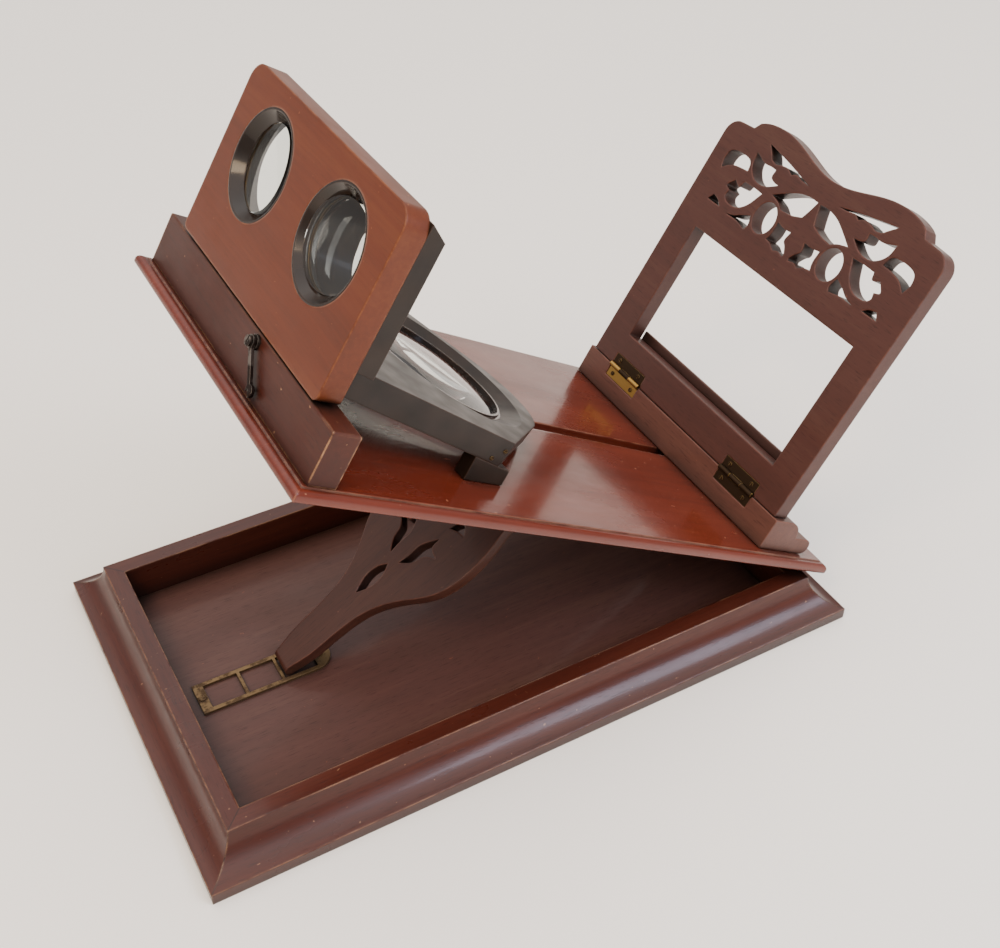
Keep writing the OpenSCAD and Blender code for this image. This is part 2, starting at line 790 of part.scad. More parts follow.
module carriage_section() {
    square([carriage_deep, carriage_h]);
    translate([carriage_deep - eps, 0]) square([cove_bar_r, carriage_h - cove_bar_r]);
    intersection() {
        translate([carriage_deep - eps, carriage_h - cove_bar_r]) circle(r = cove_bar_r);
        translate([carriage_deep - eps, carriage_h - cove_bar_r - eps]) square([cove_bar_r, cove_bar_r + over]);
    }
    square([lip_end - lip_n / 2, lip_n]);
    translate([lip_end - lip_n / 2, lip_n / 2]) circle(r = lip_n / 2);
}

stand_hinge_y = [-57.6, 57.6];
stand_hinge_len = 30;
stand_knuckle_r = 1.6;
stand_pin_r = 0.8;
stand_leaf_t = 0.9;
stand_leaf_reach = 7.8;
stand_pin_x = -0.5;
stand_pin_z = bar_h + stand_gap / 2;

module leaf_pocket(low) {
    at_y(stand_hinge_y) {
        translate([-over, -stand_hinge_len / 2 - 0.1, low])
            cube([over + stand_leaf_t + 0.03, stand_hinge_len + 0.2, stand_leaf_reach + 0.4]);
        translate([stand_pin_x, 0, stand_pin_z]) y_rod(stand_hinge_len + 0.8, stand_knuckle_r + 0.3);
    }
}

module carriage() {
    color(mahogany) on_desk() translate([-stand_s, 0, desk_top + carriage_lift]) difference() {
        along_y(2 * carriage_half) carriage_section();
        translate([0, 0, -carriage_lift]) rotate([0, stand_lean, 0]) leaf_pocket(stand_pin_z - stand_leaf_reach - 0.2);
        translate([clamp_x, 0, -over]) cylinder(h = 9, r = clamp_hole_r);
    }
}

tongue_s = [30, 50];

module carriage_tongue() {
    color(mahogany) on_desk() difference() {
        translate([-tongue_s[1], -slot_w / 2 + 0.25, -0.4])
            cube([tongue_s[1] - tongue_s[0], slot_w - 0.5, desk_top + 0.65]);
        translate([clamp_x - stand_s, 0, -over]) cylinder(h = 12, r = clamp_hole_r);
    }
}

clamp_l = 26;
clamp_w = 24;
clamp_t = 1.4;

module clamp_plate() {
    color(brass) on_desk() difference() {
        translate([-54, -clamp_w / 2, -0.5 - clamp_t]) cube([clamp_l, clamp_w, clamp_t]);
        translate([clamp_x - stand_s, 0, -3]) cylinder(h = 4, r = clamp_hole_r);
    }
}

module clamp_screw() {
    color(brass) on_desk() translate([clamp_x - stand_s, 0, 0]) {
        translate([0, 0, -2]) cylinder(h = 14, r = clamp_hole_r - 0.05);
        translate([0, 0, -1.95]) rotate([180, 0, 0]) screw_head(3.2, 1.3);
    }
}

module carriage_leaves() {
    color(brass) on_stand() at_y(stand_hinge_y) translate([stand_pin_x, 0, stand_pin_z]) rotate([0, -90, 0])
        hinge_leaf(outer_knuckles(stand_hinge_len), stand_hinge_len, stand_leaf_reach, stand_knuckle_r,
            stand_pin_r + 0.02, stand_pin_x - stand_leaf_t, stand_leaf_t);
}

module stand_hinge_pins() {
    color(brass) on_stand() at_y(stand_hinge_y) translate([stand_pin_x, 0, stand_pin_z])
        y_rod(stand_hinge_len, stand_pin_r);
}

module stand_leaves() {
    color(brass) on_stand() at_y(stand_hinge_y) translate([stand_pin_x, 0, stand_pin_z]) rotate([0, 90, 0])
        hinge_leaf(middle_knuckle(stand_hinge_len), stand_hinge_len, stand_leaf_reach, stand_knuckle_r,
            stand_pin_r + pin_gap, -stand_pin_x, stand_leaf_t);
}

leaf_screw_up = 4.8;
leaf_screw_y = [-10, 10];

module leaf_screws(up) {
    on_stand() at_y(stand_hinge_y) for (y = leaf_screw_y) {
        translate([0, y, stand_pin_z + up]) rotate([0, -90, 0]) screw_head(1.4, 0.4);
    }
}

module stand_screws() {
    color(brass) leaf_screws(leaf_screw_up);
}

module carriage_screws() {
    color(brass) leaf_screws(-leaf_screw_up);
}

// picture stand outline: a dipped crest between two humps and rounded shoulders
function crest(y) = let (a = abs(y)) a < crest_peak
    ? crest_dip + crest_rise / 2 * (1 - cos(180 * a / crest_peak))
    : crest_dip + crest_rise - (crest_rise - 1) * (1 - sqrt(1 - ((a - crest_peak) / (crest_end - crest_peak)) ^ 2));

function shoulder(side) = [
    for (i = [0 : 9])
        let (turn = side > 0 ? 10 * i : 180 - 10 * (9 - i))
        [side * (stand_half - shoulder_r) + shoulder_r * cos(turn), shoulder_h - shoulder_r + shoulder_r * sin(turn)]
];

module stand_shape() {
    polygon(concat(
        [[-stand_half, bar_h + stand_gap], [stand_half, bar_h + stand_gap]],
        shoulder(1),
        [for (i = [24 : -1 : -24]) let (y = i * crest_end / 24) [y, crest(y)]],
        shoulder(-1)
    ));
}

// pierced work, left half, on the drawing grid: x across, y up from the desk
fret_crest = [
    [-10.6, 146, 1], [-16, 146.4], [-21, 147.2], [-24, 145.8, 1], [-28, 147.5], [-32.6, 147, 1], [-35.6, 146],
    [-39.4, 146.8, 1], [-41.4, 149], [-45.5, 152.7, 1], [-28, 149.7]
];
fret_scroll = [
    [-50, 146, 1], [-48.9, 140], [-45, 135.6], [-40, 133.9], [-34, 134.7], [-27.5, 138.3, 1], [-31, 138.6],
    [-33.8, 140], [-33.8, 143.8, 1], [-38, 143.9], [-42.5, 143.6]
];
fret_petal = [
    [-27.5, 133.5, 1], [-21, 137.3], [-14, 140.8], [-7, 142.3], [-0.9, 142.2, 1], [-2.6, 137], [-4.4, 132.6, 1],
    [-10.5, 130.6], [-18, 129.7, 1], [-22, 132]
];
fret_eye = [
    [-67.5, 135], [-66, 139.8], [-61, 141.5], [-53.5, 141.4], [-50.4, 139.6], [-49.3, 135.8, 1], [-55, 135.4],
    [-61, 134], [-66, 130.5, 1]
];
fret_comma = [
    [-33.5, 130.9, 1], [-40, 131.2], [-47.5, 131, 1], [-49, 127.6], [-53, 129.3, 1], [-56.5, 125.2], [-53.4, 123.6, 1],
    [-54, 120.5], [-51, 118.2], [-44, 118.3], [-38, 122.6]
];
fret_slit = [
    [-47.6, 113.4, 1], [-42, 114.8], [-38, 117], [-32.4, 119.5, 1], [-30.8, 115], [-31.8, 112.2, 1], [-39, 113.6]
];
fret_spark = [[-63, 114.2, 1], [-60.6, 117.6, 1], [-56.4, 116.4], [-53.4, 114.2, 1], [-58, 114.2]];
fret_bud = [
    [-15.4, 124.6, 1], [-10, 123.6], [-5.2, 124, 1], [-6.2, 119.4], [-4, 117], [-2, 114], [-2.2, 112.6, 1],
    [-6, 113.4], [-9, 112.2, 1], [-13, 114.4], [-16.4, 114.8, 1], [-15.2, 119]
];
fret_ring = [-24.1, 122.3];
fret_ring_x = 7.2;
fret_ring_y = 8.2;

module fretwork() {
    for (side = [0, 1]) mirror([side, 0]) {
        for (hole = [fret_crest, fret_scroll, fret_petal, fret_eye, fret_comma, fret_slit, fret_spark, fret_bud]) {
            polygon(fret_grid * smooth(hole));
        }
        polygon([for (t = [0 : 12 : 348])
            fret_grid * [fret_ring[0] + fret_ring_x * cos(t), fret_ring[1] + fret_ring_y * sin(t)]]);
    }
}

module picture_stand() {
    color(mahogany) on_stand() difference() {
        translate([stand_t / 2, 0, 0]) along_x(stand_t) difference() {
            stand_shape();
            translate([-window_half, window_low]) square([2 * window_half, window_high - window_low]);
            fretwork();
        }
        leaf_pocket(stand_pin_z - 0.2);
    }
}

batten_t = 7;
batten_low = 21;
batten_high = 34.6;
batten_r = 4.4;
batten_half = 87.6;
lip_t = 2;
lip_low = 28.6;
lip_high = 45.6;
card_gap = 3.4;

module stand_batten() {
    color(mahogany) on_stand() translate([stand_t + 0.02, 0, 0]) along_y(2 * batten_half) difference() {
        translate([0, batten_low]) square([batten_t, batten_high - batten_low]);
        translate([batten_t - batten_r, batten_high - batten_r]) difference() {
            square([batten_r + over, batten_r + over]);
            circle(r = batten_r);
        }
        translate([card_gap - 0.02, lip_low - 0.02]) square([lip_t + 0.04, lip_high]);
    }
}

module card_lip() {
    color(mahogany) on_stand() translate([stand_t + 0.02 + card_gap, -window_half - 2, lip_low])
        cube([lip_t, 2 * window_half + 4, lip_high - lip_low]);
}

base_frame();
base_floor();
ratchet_plate();
ratchet_screws();
base_hinge_leaves();
desk_hinge_pins();
desk_board();
desk_hinge_leaves();
strut_brackets();
strut_pins();
lens_rail();
rail_hinge_leaves();
board_hinge_pins();
hook_screw();
hook();
strut();
strut_knuckles();
eyepiece_board();
backing_board();
eyepiece_cups();
eyepiece_lenses();
lens_rings();
board_hinge_leaves();
backing_hinge_leaves();
lens_hinge_pins();
lens_frame();
lens_frame_leaves();
large_lens();
large_lens_ring();
lens_feet();
lens_frame_screws();
carriage();
carriage_tongue();
clamp_plate();
clamp_screw();
carriage_leaves();
stand_hinge_pins();
picture_stand();
stand_batten();
card_lip();
stand_leaves();
stand_screws();
carriage_screws();
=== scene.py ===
import math

import bmesh
import bpy
from mathutils import Matrix, Vector


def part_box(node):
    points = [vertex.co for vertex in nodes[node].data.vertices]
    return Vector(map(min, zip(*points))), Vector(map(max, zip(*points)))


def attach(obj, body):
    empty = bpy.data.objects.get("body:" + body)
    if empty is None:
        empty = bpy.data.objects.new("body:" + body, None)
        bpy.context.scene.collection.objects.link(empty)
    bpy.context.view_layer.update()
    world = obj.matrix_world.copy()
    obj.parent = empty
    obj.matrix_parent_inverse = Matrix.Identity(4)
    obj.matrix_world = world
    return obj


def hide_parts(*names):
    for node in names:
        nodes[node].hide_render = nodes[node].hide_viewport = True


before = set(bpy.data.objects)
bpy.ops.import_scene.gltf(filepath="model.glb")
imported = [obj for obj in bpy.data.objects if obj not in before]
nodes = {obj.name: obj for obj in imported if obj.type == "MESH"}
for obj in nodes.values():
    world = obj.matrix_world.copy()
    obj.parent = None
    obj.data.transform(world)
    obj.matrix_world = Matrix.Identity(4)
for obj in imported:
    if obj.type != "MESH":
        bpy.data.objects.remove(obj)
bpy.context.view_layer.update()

MM = 0.001


# Axes of the wooden pieces, as the maker laid them out on the bench, so that the grain follows each one
def tilted(x, z, degrees, parent=Matrix()):
    """Axes at a place in metres, turned about a line across the desk."""
    return parent @ Matrix.Translation((x, 0, z)) @ Matrix.Rotation(math.radians(degrees), 4, "Y")


BASE = Matrix()
DESK = tilted(0.15415, 0.0252, 31.53) @ Matrix.Translation((0.0032, 0, 0.0016))
STAND = tilted(-0.0584, 0.0061, 1.3, DESK)
BOARD = tilted(-0.3615, 0.03445, 1, DESK)
LENS = tilted(-0.3402, 0.0494, 11.3, DESK)
STRUT = tilted(0.017278, 0.105772, 147.83)
# which of these axes the grain follows
ALONG, ACROSS = 0, 1


# Materials
def linear(colour):
    """An sRGB hex colour such as #8A4B2C as the linear colour that a socket takes."""
    parts = [int(colour[i:i + 2], 16) / 255 for i in (1, 3, 5)]
    return [p / 12.92 if p <= 0.04045 else ((p + 0.055) / 1.055) ** 2.4 for p in parts] + [1]


def add(tree, kind, inputs=None, **settings):
    """Adds a node with its settings; inputs are values for its sockets, or the sockets that feed them."""
    node = tree.nodes.new(kind)
    for name, value in settings.items():
        setattr(node, name, value)
    for name, value in (inputs or {}).items():
        if isinstance(value, bpy.types.NodeSocket):
            tree.links.new(value, node.inputs[name])
        else:
            node.inputs[name].default_value = value
    return node


def new_material(name):
    """A material without nodes, and its tree."""
    material = bpy.data.materials.new(name)
    material.use_nodes = True
    material.node_tree.nodes.clear()
    return material, material.node_tree


def set_ramp(node, stops):
    """Gives a colour ramp its stops, as pairs of place and sRGB hex colour."""
    ramp = node.color_ramp
    while len(ramp.elements) < len(stops):
        ramp.elements.new(0.5)
    for element, (place, colour) in zip(ramp.elements, stops):
        element.position = place
        element.color = linear(colour)


def arris_wear_and_highlight(tree, radius, start, full, most=1.0):
    """The normal that rounds the arrises, to a radius in mm, and a mask along them for wear, which on the
    wood is
    also a painted highlight: from 0 to most, as the cosine between that normal and the true one goes from
    start to full."""
    soft = add(tree, "ShaderNodeBevel", {"Radius": radius * MM}, samples=6).outputs[0]
    true = add(tree, "ShaderNodeNewGeometry").outputs["Normal"]
    cosine = add(tree, "ShaderNodeVectorMath", {0: soft, 1: true}, operation="DOT_PRODUCT").outputs["Value"]
    wear_and_highlight = add(tree, "ShaderNodeMapRange", {
        "Value": cosine, "From Min": start, "From Max": full, "To Max": most
    }).outputs[0]
    return soft, wear_and_highlight


def mitres(tree, spot, low, high):
    """The short sides of a mitred frame between two corners, and the dark hairlines of its joints."""
    middle = (low.x + high.x) / 2
    reach = ((high.x - low.x) - (high.y - low.y)) / 2
    xyz = add(tree, "ShaderNodeSeparateXYZ", {0: spot})
    along = add(tree, "ShaderNodeMath", {0: xyz.outputs[0], 1: middle}, operation="SUBTRACT").outputs[0]
    along = add(tree, "ShaderNodeMath", {0: along}, operation="ABSOLUTE").outputs[0]
    across = add(tree, "ShaderNodeMath", {0: xyz.outputs[1]}, operation="ABSOLUTE").outputs[0]
    past = add(tree, "ShaderNodeMath", {0: along, 1: across}, operation="SUBTRACT").outputs[0]
    short_sides = add(tree, "ShaderNodeMath", {0: past, 1: reach}, operation="GREATER_THAN").outputs[0]
    off_joint = add(tree, "ShaderNodeMath", {0: past, 1: reach}, operation="SUBTRACT").outputs[0]
    off_joint = add(tree, "ShaderNodeMath", {0: off_joint}, operation="ABSOLUTE").outputs[0]
    # a hairline is 0.4 mm wide and fades out at 0.7 mm from the joint
    joints = add(tree, "ShaderNodeMapRange", {
        "Value": off_joint, "From Min": 0.2 * MM, "From Max": 0.7 * MM, "To Min": 0.75, "To Max": 0.0
    }).outputs[0]
    return short_sides, joints


# What shows in the wood: its length and width in mm, the noise where it starts and where it is full, and the
# detail of its edges. A real pore is 0.2 mm wide, and is drawn 0.5 mm wide so that it still shows
BANDS = (240, 22, 0.25, 0.75, 3.0)
RIBBON = (60, 2.2, 0.25, 0.75, 4.0)
PORES = (9, 0.5, 0.6, 0.7, 1.0)
RUBBED_STRETCHES = (16, 5, 0.34, 0.58, 3.0)
KNOCKS = (4, 2.5, 0.73, 0.76, 2.0)
SMEARS = (60, 26, 0.3, 0.7, 4.0)
FILM_WAVES = (40, 22, 0.2, 0.8, 1.0)
# how much of the tone comes from the bands, and from the ribbon
BAND_SHARE, RIBBON_SHARE = 0.62, 0.38
# how far the knocks go through the polish, and how far the film sinks into the pores
KNOCK_DEPTH, PORE_SINK = 0.5, 0.35
# how far the painted shade comes out of a corner, in mm, and its colour
CORNER_SHADE_REACH, PAINTED_SHADE_COLOUR = 14, "#17100C"
# typical of shellac and of wax
FILM_IOR = 1.5


def polished_wood(
    name, place, axis, tones, pore_colour, wear_and_highlight_colour, rough, coat, pale_arris_amount, pores=0.5, mitred_frame=None
):
    """Mahogany under shellac or wax: broad bands and a fine ribbon along the grain, short dark pores, pale
    arrises that are partly rubbed wear and partly a painted highlight, painted shade in the corners, and a
    slightly wavy film that gives soft reflections."""
    material, tree = new_material(name)
    spot = add(tree, "ShaderNodeTexCoord").outputs["Object"]

    def patches(kind, axis=axis):
        """Patches of one of the kinds above, with their length on an axis: 0 between them, and 1 in them."""
        length, width, start, full, detail = kind
        scale = [width * MM] * 3
        scale[axis] = length * MM
        laid = add(tree, "ShaderNodeMapping", {
            "Vector": spot, "Location": place.to_translation(), "Rotation": place.to_euler(), "Scale": scale
        }, vector_type="TEXTURE").outputs[0]
        noise = add(tree, "ShaderNodeTexNoise", {
            "Vector": laid, "Scale": 1.0, "Detail": detail, "Roughness": 0.6
        }).outputs[0]
        return add(tree, "ShaderNodeMapRange", {
            "Value": noise, "From Min": start, "From Max": full
        }).outputs[0]

    def grain(axis):
        """The tone of the wood, and its pores."""
        bands = patches(BANDS, axis)
        ribbon = patches(RIBBON, axis)
        tone = add(tree, "ShaderNodeMath", {0: bands, 1: BAND_SHARE}, operation="MULTIPLY").outputs[0]
        tone = add(tree, "ShaderNodeMath", {
            0: ribbon, 1: RIBBON_SHARE, 2: tone
        }, operation="MULTIPLY_ADD").outputs[0]
        return tone, patches(PORES, axis)

    tone, holes = grain(axis)
    if mitred_frame:
        # the short sides have their grain across
        short_sides, joints = mitres(tree, spot, *mitred_frame)
        short_tone, short_holes = grain(ACROSS)
        tone = add(tree, "ShaderNodeMix", {"Factor": short_sides, 2: tone, 3: short_tone}).outputs[0]
        holes = add(tree, "ShaderNodeMix", {"Factor": short_sides, 2: holes, 3: short_holes}).outputs[0]

    ramp = add(tree, "ShaderNodeValToRGB", {0: tone})
    set_ramp(ramp, tones)
    depth = add(tree, "ShaderNodeMath", {0: holes, 1: pores}, operation="MULTIPLY").outputs[0]
    colour = add(tree, "ShaderNodeMix", {
        "Factor": depth, 6: ramp.outputs[0], 7: linear(pore_colour)
    }, data_type="RGBA").outputs[2]
    if mitred_frame:
        colour = add(tree, "ShaderNodeMix", {
            "Factor": joints, 6: colour, 7: linear(pore_colour)
        }, data_type="RGBA").outputs[2]

    # pale arrises in stretches, partly polish rubbed off and partly a painted highlight, and small knocks
    soft, arris = arris_wear_and_highlight(tree, radius=1.5, start=0.985, full=0.87, most=pale_arris_amount)
    stretches = patches(RUBBED_STRETCHES)
    arris = add(tree, "ShaderNodeMath", {0: arris, 1: stretches}, operation="MULTIPLY").outputs[0]
    knocks = patches(KNOCKS)
    knocks = add(tree, "ShaderNodeMath", {0: knocks, 1: KNOCK_DEPTH}, operation="MULTIPLY").outputs[0]
    wear_and_highlight = add(tree, "ShaderNodeMath", {0: arris, 1: knocks}, operation="MAXIMUM").outputs[0]
    colour = add(tree, "ShaderNodeMix", {
        "Factor": wear_and_highlight, 6: colour, 7: linear(wear_and_highlight_colour)
    }, data_type="RGBA").outputs[2]

    # painted shade in the corners, slots and openings, darkest where they are most closed in
    shelter = add(tree, "ShaderNodeAmbientOcclusion", {"Distance": CORNER_SHADE_REACH * MM}, samples=6).outputs["AO"]
    painted_shade = add(tree, "ShaderNodeMapRange", {
        "Value": shelter, "From Min": 0.35, "From Max": 0.88, "To Min": 0.9, "To Max": 0.0
    }).outputs[0]
    colour = add(tree, "ShaderNodeMix", {
        "Factor": painted_shade, 6: colour, 7: linear(PAINTED_SHADE_COLOUR)
    }, data_type="RGBA").outputs[2]

    # the film is smeared and wavy
    smears = patches(SMEARS)
    roughness = add(tree, "ShaderNodeMapRange", {
        "Value": smears, "To Min": rough - 0.06, "To Max": rough + 0.1
    }).outputs[0]
    film = patches(FILM_WAVES)
    height = add(tree, "ShaderNodeMath", {
        0: depth, 1: -PORE_SINK, 2: film
    }, operation="MULTIPLY_ADD").outputs[0]
    bump = add(tree, "ShaderNodeBump", {
        "Height": height, "Distance": 0.15 * MM, "Strength": 0.5, "Normal": soft
    }).outputs[0]
    shader = add(tree, "ShaderNodeBsdfPrincipled", {
        "Base Color": colour, "Roughness": roughness, "IOR": FILM_IOR, "Specular IOR Level": 0.26,
        "Normal": bump, "Coat Weight": coat, "Coat Roughness": 0.1, "Coat IOR": FILM_IOR, "Coat Normal": bump
    })
    add(tree, "ShaderNodeOutputMaterial", {"Surface": shader.outputs[0]})
    return material


def ebonised_wood(name, rough, coat):
    """Pear wood stained black and polished: near black, with a little brown along the arrises, partly where
    hands have rubbed them and partly a painted highlight, and an uneven shine."""
    material, tree = new_material(name)
    spot = add(tree, "ShaderNodeTexCoord").outputs["Object"]
    soft, arris = arris_wear_and_highlight(tree, radius=0.9, start=0.985, full=0.82, most=0.7)
    # patches of stain 18 mm wide under waves of polish 14 mm wide
    stain = add(tree, "ShaderNodeTexNoise", {
        "Vector": spot, "Scale": 1 / (18 * MM), "Detail": 5.0
    }).outputs[0]
    ramp = add(tree, "ShaderNodeValToRGB", {0: stain})
    set_ramp(ramp, [(0.3, "#17100B"), (0.7, "#271B13")])
    # a little brown along the arrises: partly rubbed wear, partly a painted highlight
    colour = add(tree, "ShaderNodeMix", {
        "Factor": arris, 6: ramp.outputs[0], 7: linear("#4A352A")
    }, data_type="RGBA").outputs[2]
    film = add(tree, "ShaderNodeTexNoise", {
        "Vector": spot, "Scale": 1 / (14 * MM), "Detail": 2.0
    }).outputs[0]
    roughness = add(tree, "ShaderNodeMapRange", {
        "Value": film, "From Min": 0.3, "From Max": 0.7, "To Min": rough - 0.05, "To Max": rough + 0.1
    }).outputs[0]
    bump = add(tree, "ShaderNodeBump", {
        "Height": film, "Distance": 0.2 * MM, "Strength": 0.4, "Normal": soft
    }).outputs[0]
    shader = add(tree, "ShaderNodeBsdfPrincipled", {
        "Base Color": colour, "Roughness": roughness, "IOR": FILM_IOR, "Specular IOR Level": 0.24,
        "Normal": bump, "Coat Weight": coat, "Coat Roughness": 0.08
    })
    add(tree, "ShaderNodeOutputMaterial", {"Surface": shader.outputs[0]})
    return material


def old_metal(name, bright, tarnish, amount, rough, rubbed_beyond=None):
    """Metal gone patchy: bright where fingers touch it and dull brown elsewhere, with fine working marks.
    Beyond a line across the desk, given in metres, it may be rubbed bright all over."""
    material, tree = new_material(name)
    spot = add(tree, "ShaderNodeTexCoord").outputs["Object"]
    soft, arris = arris_wear_and_highlight(tree, radius=0.3, start=0.99, full=0.85)
    # blotches of tarnish 7 mm wide
    blotches = add(tree, "ShaderNodeTexNoise", {
        "Vector": spot, "Scale": 1 / (7 * MM), "Detail": 5.0, "Roughness": 0.65
    }).outputs[0]
    dull = add(tree, "ShaderNodeMapRange", {
        "Value": blotches, "From Min": 0.62 - amount / 2, "From Max": 0.72 - amount / 2
    }).outputs[0]
    if rubbed_beyond is not None:
        across = add(tree, "ShaderNodeSeparateXYZ", {0: spot}).outputs[1]
        kept = add(tree, "ShaderNodeMath", {0: across, 1: rubbed_beyond}, operation="LESS_THAN").outputs[0]
        dull = add(tree, "ShaderNodeMix", {"Factor": 0.75, 2: dull, 3: kept}).outputs[0]
    dull = add(tree, "ShaderNodeMath", {0: dull, 1: arris}, operation="SUBTRACT", use_clamp=True).outputs[0]
    colour = add(tree, "ShaderNodeMix", {
        "Factor": dull, 6: linear(bright), 7: linear(tarnish)
    }, data_type="RGBA").outputs[2]
    roughness = add(tree, "ShaderNodeMapRange", {
        "Value": dull, "To Min": rough, "To Max": rough + 0.3
    }).outputs[0]
    # rolling and filing marks are finer than this, and are drawn 0.4 mm apart so that they still show
    marks = add(tree, "ShaderNodeTexNoise", {
        "Vector": spot, "Scale": 1 / (0.4 * MM), "Detail": 1.0
    }).outputs[0]
    bump = add(tree, "ShaderNodeBump", {
        "Height": marks, "Distance": 0.05 * MM, "Strength": 0.4, "Normal": soft
    }).outputs[0]
    shader = add(tree, "ShaderNodeBsdfPrincipled", {
        "Base Color": colour, "Metallic": 1.0, "Roughness": roughness, "Normal": bump
    })
    add(tree, "ShaderNodeOutputMaterial", {"Surface": shader.outputs[0]})
    return material


def crown_glass(name):
    """Hand-polished crown glass: clear, faintly green, with waves 16 mm wide that bend its reflections."""
    material, tree = new_material(name)
    spot = add(tree, "ShaderNodeTexCoord").outputs["Object"]
    waves = add(tree, "ShaderNodeTexNoise", {
        "Vector": spot, "Scale": 1 / (16 * MM), "Detail": 1.0
    }).outputs[0]
    bump = add(tree, "ShaderNodeBump", {"Height": waves, "Distance": 0.15 * MM, "Strength": 0.5}).outputs[0]
    shader = add(tree, "ShaderNodeBsdfPrincipled", {
        "Base Color": linear("#F1F6F2"), "Roughness": 0.0, "IOR": 1.52, "Transmission Weight": 1.0,
        "Normal": bump
    })
    add(tree, "ShaderNodeOutputMaterial", {"Surface": shader.outputs[0]})
    return material


# Tones of the mahogany pieces, from dark bands to light ones
FRAME_RED = [(0.1, "#35150D"), (0.5, "#401A11"), (0.9, "#4D2418")]
TRAY_BROWN = [(0.1, "#452D27"), (0.5, "#4D312B"), (0.9, "#573B32")]
DESK_RED = [(0.1, "#4D1C11"), (0.5, "#5E2315"), (0.9, "#6D2E1C")]
RAIL_RED = [(0.1, "#35140C"), (0.5, "#3F190E"), (0.9, "#4B2113")]
BOARD_ORANGE = [(0.1, "#50230F"), (0.5, "#5D2912"), (0.9, "#673418")]
STAND_BROWN = [(0.1, "#422721"), (0.5, "#492A23"), (0.9, "#503229")]
CARRIAGE_BROWN = [(0.1, "#503229"), (0.5, "#5B382E"), (0.9, "#664235")]
STRUT_BROWN = [(0.1, "#371D16"), (0.5, "#402219"), (0.9, "#4A2B1F")]

# the tray's moulding: red-brown shellac with a soft shine along the cove, and pale arrises, partly rubbed and
# partly a painted highlight
base_finish = polished_wood(
    "french_polished_mahogany_frame", BASE, ALONG, FRAME_RED, "#1B0D09", "#9C7254",
    rough=0.3, coat=0.22, pale_arris_amount=0.7, mitred_frame=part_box("base_frame")
)
# the tray's floor: thinly polished, so a dull brown
tray_finish = polished_wood(
    "mahogany_tray_floor", BASE, ALONG, TRAY_BROWN, "#241410", "#7A4632",
    rough=0.48, coat=0.1, pale_arris_amount=0.3
)
# the desk: the best polish on the object, a clear red that mirrors the stand
desk_finish = polished_wood(
    "french_polished_mahogany_desk", DESK, ALONG, DESK_RED, "#34150F", "#A87456",
    rough=0.22, coat=0.32, pale_arris_amount=0.6, pores=0.2
)
# the desk's underside: never polished, so dry open wood without a shine
under_finish = polished_wood(
    "bare_mahogany_underside", DESK, ALONG, TRAY_BROWN, "#241410", "#7A4632",
    rough=0.62, coat=0.0, pale_arris_amount=0.3
)
# the rail: worn dull by hands, with the palest arrises
rail_finish = polished_wood(
    "french_polished_mahogany_rail", DESK, ACROSS, RAIL_RED, "#20100C", "#C09068",
    rough=0.44, coat=0.04, pale_arris_amount=0.95
)
# the eyepiece board: paler wood under an orange shellac, even and half shiny
board_finish = polished_wood(
    "french_polished_pale_mahogany", BOARD, ACROSS, BOARD_ORANGE, "#42200F", "#A96C44",
    rough=0.38, coat=0.08, pale_arris_amount=0.5, pores=0.3
)
# the stand, the carriage and the strut: waxed, so a calm brown with little shine
stand_finish = polished_wood(
    "waxed_mahogany_stand", STAND, ACROSS, STAND_BROWN, "#241410", "#7F4A38",
    rough=0.42, coat=0.1, pale_arris_amount=0.5
)
carriage_finish = polished_wood(
    "waxed_mahogany_carriage", STAND, ACROSS, CARRIAGE_BROWN, "#2A1712", "#8C5440",
    rough=0.42, coat=0.12, pale_arris_amount=0.6
)
strut_finish = polished_wood(
    "waxed_mahogany_strut", STRUT, ALONG, STRUT_BROWN, "#1C0F0B", "#7A4836",
    rough=0.42, coat=0.1, pale_arris_amount=0.5
)
# the boards and the frame in black, and the turned rings, which come smoother off the lathe and shine more
black_finish = ebonised_wood("ebonised_pear_wood", rough=0.42, coat=0.1)
ring_finish = ebonised_wood("ebonised_turned_ring", rough=0.16, coat=0.2)
# hinges, lens rings, clamp and screws: brass tarnished almost black
brass_finish = old_metal("tarnished_rolled_brass", "#8A7048", "#3B2E22", amount=0.85, rough=0.34)
# the carriage's leaves: the same, but the one on the far side is rubbed to a warm gold
rubbed_finish = old_metal(
    "rubbed_rolled_brass", "#B8924E", "#3B2E22", amount=0.85, rough=0.34, rubbed_beyond=0.0
)
# the ratchet plate: an even dull tan
plate_finish = old_metal("dull_brass_plate", "#7C664A", "#665340", amount=0.3, rough=0.52)
# the hook: steel browned to a dark, slightly oily grey
steel_finish = old_metal("browned_steel", "#6B645E", "#2C2320", amount=0.4, rough=0.34)
glass_finish = crown_glass("crown_glass")

